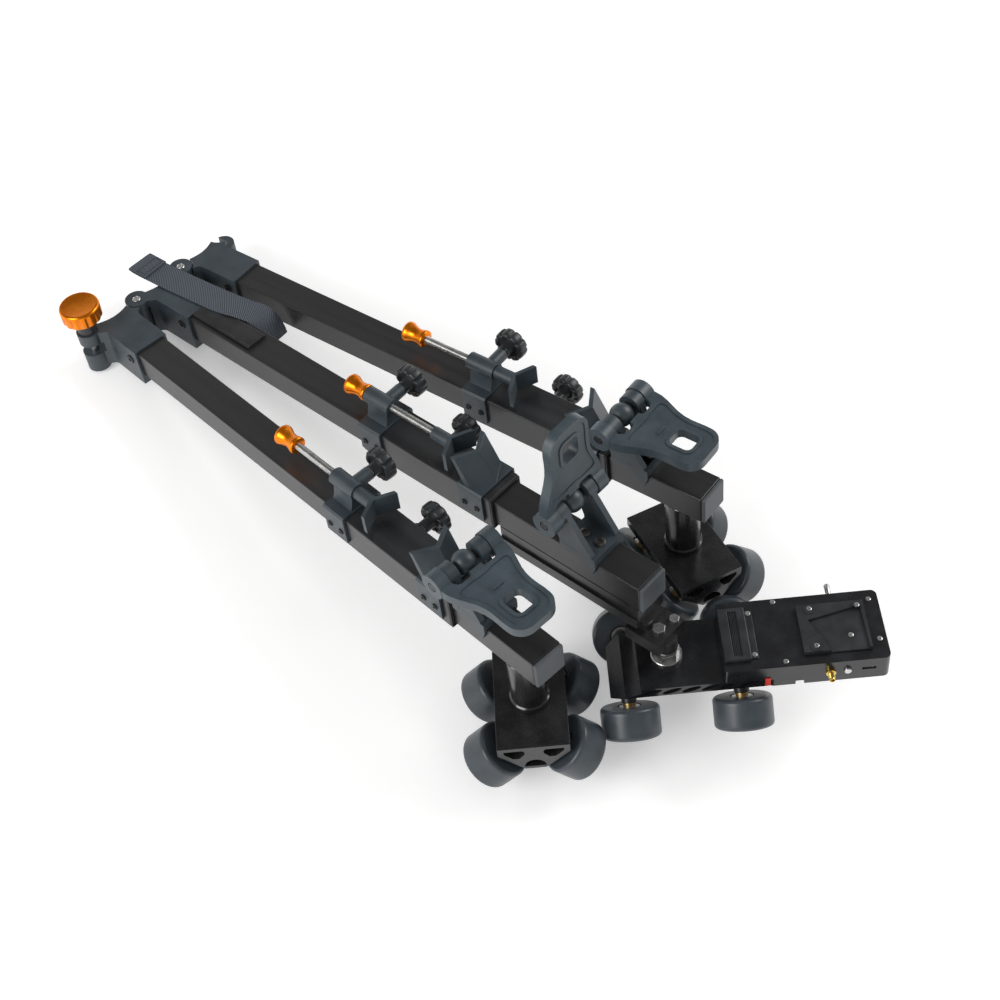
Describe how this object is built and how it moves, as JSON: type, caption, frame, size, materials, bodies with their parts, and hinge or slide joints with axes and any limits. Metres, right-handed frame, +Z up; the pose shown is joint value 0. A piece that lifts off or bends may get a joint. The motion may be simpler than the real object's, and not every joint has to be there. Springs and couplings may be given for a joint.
{
  "type": "tripod dolly",
  "caption": "Folding dolly for a camera tripod, with hinged legs, sliding foot clamps, foot levers and wheeled trucks for round rail, one of them powered.",
  "frame": {"origin": "bottom centre of the bounding box: the centre of the folded dolly in plan, on the floor it lies on", "axes": "+X from the hub toward the powered truck, +Y from the left leg toward the right leg, +Z up. The legs slope up from the hub by about 11 degrees"},
  "size_m": [0.9278, 0.3974, 0.3097],
  "materials": {
    "black_metal": "satin black anodised",
    "cast_grey": "matt dark grey casting",
    "orange_metal": "satin orange",
    "steel": "bright",
    "black_plastic": "matt",
    "wheel_rubber": "matt dark blue-grey",
    "webbing": "woven"
  },
  "bodies": {
    "middle_leg": {"middle_tube": "black_metal", "middle_hinge_bracket": "cast_grey", "left_hinge_pin": "steel", "right_hinge_pin": "steel", "middle_lever_bracket": "cast_grey", "drive_rail": "black_metal", "carry_strap": "webbing"},
    "left_leg": {"left_tube": "black_metal", "left_hinge_bracket": "cast_grey", "left_lever_bracket": "cast_grey", "left_post": "black_metal"},
    "left_truck": {"left_truck_body": "black_metal"},
    "left_wheel_front_left": {"left_wheel_front_left": "wheel_rubber"},
    "left_wheel_front_right": {"left_wheel_front_right": "wheel_rubber"},
    "left_wheel_rear_left": {"left_wheel_rear_left": "wheel_rubber"},
    "left_wheel_rear_right": {"left_wheel_rear_right": "wheel_rubber"},
    "right_leg": {"right_tube": "black_metal", "right_hinge_bracket": "cast_grey", "right_lever_bracket": "cast_grey", "right_post": "black_metal"},
    "right_truck": {"right_truck_body": "black_metal"},
    "right_wheel_front_left": {"right_wheel_front_left": "wheel_rubber"},
    "right_wheel_front_right": {"right_wheel_front_right": "wheel_rubber"},
    "right_wheel_rear_left": {"right_wheel_rear_left": "wheel_rubber"},
    "right_wheel_rear_right": {"right_wheel_rear_right": "wheel_rubber"},
    "drive_truck": {"drive_truck_body": "black_metal", "control_box": "black_metal", "cable_cover": "black_plastic", "battery_plate": "black_plastic"},
    "drive_wheel_front_left": {"drive_wheel_front_left": "wheel_rubber"},
    "drive_wheel_front_right": {"drive_wheel_front_right": "wheel_rubber"},
    "drive_wheel_rear_left": {"drive_wheel_rear_left": "wheel_rubber"},
    "drive_wheel_rear_right": {"drive_wheel_rear_right": "wheel_rubber"},
    "power_switch": {"power_switch": "steel"},
    "set_button": {"set_button": "steel"},
    "hub_knob": {"hub_knob": "orange_metal"},
    "left_sleeve": {"left_sleeve_tube": "black_metal", "left_clamp_saddle": "cast_grey", "left_v_block": "cast_grey"},
    "left_jaw": {"left_v_jaw": "cast_grey"},
    "left_push_screw": {"left_push_screw": "orange_metal"},
    "left_rod_lock_knob": {"left_rod_lock_knob": "black_plastic"},
    "left_sleeve_lock_knob": {"left_sleeve_lock_knob": "black_plastic"},
    "left_lever": {"left_lever": "cast_grey"},
    "middle_sleeve": {"middle_sleeve_tube": "black_metal", "middle_clamp_saddle": "cast_grey", "middle_v_block": "cast_grey"},
    "middle_jaw": {"middle_v_jaw": "cast_grey"},
    "middle_push_screw": {"middle_push_screw": "orange_metal"},
    "middle_rod_lock_knob": {"middle_rod_lock_knob": "black_plastic"},
    "middle_sleeve_lock_knob": {"middle_sleeve_lock_knob": "black_plastic"},
    "middle_lever": {"middle_lever": "cast_grey"},
    "right_sleeve": {"right_sleeve_tube": "black_metal", "right_clamp_saddle": "cast_grey", "right_v_block": "cast_grey"},
    "right_jaw": {"right_v_jaw": "cast_grey"},
    "right_push_screw": {"right_push_screw": "orange_metal"},
    "right_rod_lock_knob": {"right_rod_lock_knob": "black_plastic"},
    "right_sleeve_lock_knob": {"right_sleeve_lock_knob": "black_plastic"},
    "right_lever": {"right_lever": "cast_grey"}
  },
  "joints": [
    {"name": "left_leg_fold", "type": "hinge", "parent": "middle_leg", "child": "left_leg", "pos_m": [-0.41895, -0.02938, 0.03492], "axis": [0.1892, 0, -0.9819], "range_deg": [0, 115.18]},
    {"name": "right_leg_fold", "type": "hinge", "parent": "middle_leg", "child": "right_leg", "pos_m": [-0.41895, 0.03612, 0.03492], "axis": [-0.1892, 0, 0.9819], "range_deg": [0, 115.4]},
    {"name": "hub_knob_turn", "type": "hinge", "parent": "left_leg", "child": "hub_knob", "pos_m": [-0.42436, -0.09465, 0.03388], "axis": [-0.1892, 0, 0.9819], "range_deg": [0, 360]},
    {"name": "left_sleeve_slide", "type": "slide", "parent": "left_leg", "child": "left_sleeve", "axis": [0.9785, -0.084, 0.1885], "range_m": [-0.25, 0.003]},
    {"name": "left_jaw_slide", "type": "slide", "parent": "left_sleeve", "child": "left_jaw", "axis": [0.9785, -0.084, 0.1885], "range_m": [0, 0.057]},
    {"name": "left_push_screw_turn", "type": "hinge", "parent": "left_jaw", "child": "left_push_screw", "pos_m": [0.00847, -0.09964, 0.16054], "axis": [0.9785, -0.084, 0.1885], "range_deg": [0, 16416]},
    {"name": "left_rod_lock_turn", "type": "hinge", "parent": "left_sleeve", "child": "left_rod_lock_knob", "pos_m": [-0.02627, -0.09666, 0.15385], "axis": [0.0825, 0.9965, 0.0159], "range_deg": [0, 360]},
    {"name": "left_sleeve_lock_turn", "type": "hinge", "parent": "left_sleeve", "child": "left_sleeve_lock_knob", "pos_m": [0.04048, -0.1017, 0.12343], "axis": [0.0825, 0.9965, 0.0159], "range_deg": [0, 360]},
    {"name": "left_lever_fold", "type": "hinge", "parent": "left_leg", "child": "left_lever", "pos_m": [0.12934, -0.11036, 0.20471], "axis": [-0.0825, -0.9965, -0.0159], "range_deg": [0, 90]},
    {"name": "middle_sleeve_slide", "type": "slide", "parent": "middle_leg", "child": "middle_sleeve", "axis": [0.9819, 0, 0.1892], "range_m": [-0.15, 0.002]},
    {"name": "middle_jaw_slide", "type": "slide", "parent": "middle_sleeve", "child": "middle_jaw", "axis": [0.9819, 0, 0.1892], "range_m": [-0.057, 0]},
    {"name": "middle_push_screw_turn", "type": "hinge", "parent": "middle_jaw", "child": "middle_push_screw", "pos_m": [0.01469, 0.00337, 0.16174], "axis": [0.9819, 0, 0.1892], "range_deg": [-16416, 0]},
    {"name": "middle_rod_lock_turn", "type": "hinge", "parent": "middle_sleeve", "child": "middle_rod_lock_knob", "pos_m": [-0.07614, 0.00337, 0.14424], "axis": [0, 1, 0], "range_deg": [0, 360]},
    {"name": "middle_sleeve_lock_turn", "type": "hinge", "parent": "middle_sleeve", "child": "middle_sleeve_lock_knob", "pos_m": [-0.00919, 0.00337, 0.11386], "axis": [0, 1, 0], "range_deg": [0, 360]},
    {"name": "middle_lever_fold", "type": "hinge", "parent": "middle_leg", "child": "middle_lever", "pos_m": [0.15957, 0.00337, 0.21053], "axis": [0, -1, 0], "range_deg": [-90, 0]},
    {"name": "right_sleeve_slide", "type": "slide", "parent": "right_leg", "child": "right_sleeve", "axis": [0.9788, 0.0802, 0.1886], "range_m": [-0.25, 0.003]},
    {"name": "right_jaw_slide", "type": "slide", "parent": "right_sleeve", "child": "right_jaw", "axis": [0.9788, 0.0802, 0.1886], "range_m": [0, 0.057]},
    {"name": "right_push_screw_turn", "type": "hinge", "parent": "right_jaw", "child": "right_push_screw", "pos_m": [0.00873, 0.10467, 0.16059], "axis": [0.9788, 0.0802, 0.1886], "range_deg": [0, 16416]},
    {"name": "right_rod_lock_turn", "type": "hinge", "parent": "right_sleeve", "child": "right_rod_lock_knob", "pos_m": [-0.02602, 0.10183, 0.1539], "axis": [-0.0788, 0.9968, -0.0152], "range_deg": [0, 360]},
    {"name": "right_sleeve_lock_turn", "type": "hinge", "parent": "right_sleeve", "child": "right_sleeve_lock_knob", "pos_m": [0.04075, 0.10664, 0.12348], "axis": [-0.0788, 0.9968, -0.0152], "range_deg": [0, 360]},
    {"name": "right_lever_fold", "type": "hinge", "parent": "right_leg", "child": "right_lever", "pos_m": [0.12964, 0.1149, 0.20477], "axis": [0.0788, -0.9968, 0.0152], "range_deg": [0, 90]},
    {"name": "left_truck_swivel", "type": "hinge", "parent": "left_leg", "child": "left_truck", "pos_m": [0.2232, -0.11603, 0.07309], "axis": [-0.1892, 0, 0.9819], "range_deg": [-12, 1.5]},
    {"name": "right_truck_swivel", "type": "hinge", "parent": "right_leg", "child": "right_truck", "pos_m": [0.22352, 0.12031, 0.07315], "axis": [-0.1892, 0, 0.9819], "range_deg": [-4, 2]},
    {"name": "drive_truck_swivel", "type": "hinge", "parent": "middle_leg", "child": "drive_truck", "pos_m": [0.27509, 0.00337, 0.16863], "axis": [-0.1892, 0, 0.9819], "range_deg": [-1, 1]},
    {"name": "left_wheel_front_left_spin", "type": "hinge", "parent": "left_truck", "child": "left_wheel_front_left", "pos_m": [0.2816, -0.11566, 0.04706], "axis": [-0.6351, -0.4892, 0.5978], "continuous": true},
    {"name": "left_wheel_front_right_spin", "type": "hinge", "parent": "left_truck", "child": "left_wheel_front_right", "pos_m": [0.22756, -0.16839, 0.03665], "axis": [0.3676, 0.4892, 0.7909], "continuous": true},
    {"name": "left_wheel_rear_left_spin", "type": "hinge", "parent": "left_truck", "child": "left_wheel_rear_left", "pos_m": [0.23268, -0.06367, 0.03763], "axis": [-0.6351, -0.4892, 0.5978], "continuous": true},
    {"name": "left_wheel_rear_right_spin", "type": "hinge", "parent": "left_truck", "child": "left_wheel_rear_right", "pos_m": [0.17865, -0.1164, 0.02722], "axis": [0.3676, 0.4892, 0.7909], "continuous": true},
    {"name": "right_wheel_front_left_spin", "type": "hinge", "parent": "right_truck", "child": "right_wheel_front_left", "pos_m": [0.2776, 0.14132, 0.04629], "axis": [-0.4051, -0.6509, 0.6421], "continuous": true},
    {"name": "right_wheel_front_right_spin", "type": "hinge", "parent": "right_truck", "child": "right_wheel_front_right", "pos_m": [0.24836, 0.07117, 0.04065], "axis": [0.1375, 0.6509, 0.7466], "continuous": true},
    {"name": "right_wheel_rear_left_spin", "type": "hinge", "parent": "right_truck", "child": "right_wheel_rear_left", "pos_m": [0.21252, 0.16946, 0.03375], "axis": [-0.4051, -0.6509, 0.6421], "continuous": true},
    {"name": "right_wheel_rear_right_spin", "type": "hinge", "parent": "right_truck", "child": "right_wheel_rear_right", "pos_m": [0.18328, 0.0993, 0.02812], "axis": [0.1375, 0.6509, 0.7466], "continuous": true},
    {"name": "drive_wheel_front_left_spin", "type": "hinge", "parent": "drive_truck", "child": "drive_wheel_front_left", "pos_m": [0.31049, 0.0861, 0.05262], "axis": [0.3486, -0.5086, 0.7873], "continuous": true},
    {"name": "drive_wheel_front_right_spin", "type": "hinge", "parent": "drive_truck", "child": "drive_wheel_front_right", "pos_m": [0.37953, 0.0133, 0.06592], "axis": [-0.6161, 0.5087, 0.6014], "continuous": true},
    {"name": "drive_wheel_rear_left_spin", "type": "hinge", "parent": "drive_truck", "child": "drive_wheel_rear_left", "pos_m": [0.23513, 0.01198, 0.0381], "axis": [0.3486, -0.5086, 0.7873], "continuous": true},
    {"name": "drive_wheel_rear_right_spin", "type": "hinge", "parent": "drive_truck", "child": "drive_wheel_rear_right", "pos_m": [0.30417, -0.06082, 0.0514], "axis": [-0.6161, 0.5087, 0.6014], "continuous": true},
    {"name": "power_switch_tilt", "type": "hinge", "parent": "drive_truck", "child": "power_switch", "pos_m": [0.37774, 0.14467, 0.1049], "axis": [-0.1892, 0, 0.9819], "range_deg": [-12, 12]},
    {"name": "set_button_press", "type": "slide", "parent": "drive_truck", "child": "set_button", "axis": [-0.6821, 0.7193, -0.1314], "range_m": [0, 0.0012], "stiffness_N_per_m": 300}
  ],
  "couplings": [
    {"joint": "left_push_screw_turn", "follows": "left_jaw_slide", "rad_per_m": 5026.5},
    {"joint": "middle_push_screw_turn", "follows": "middle_jaw_slide", "rad_per_m": 5026.5},
    {"joint": "right_push_screw_turn", "follows": "right_jaw_slide", "rad_per_m": 5026.5}
  ]
}
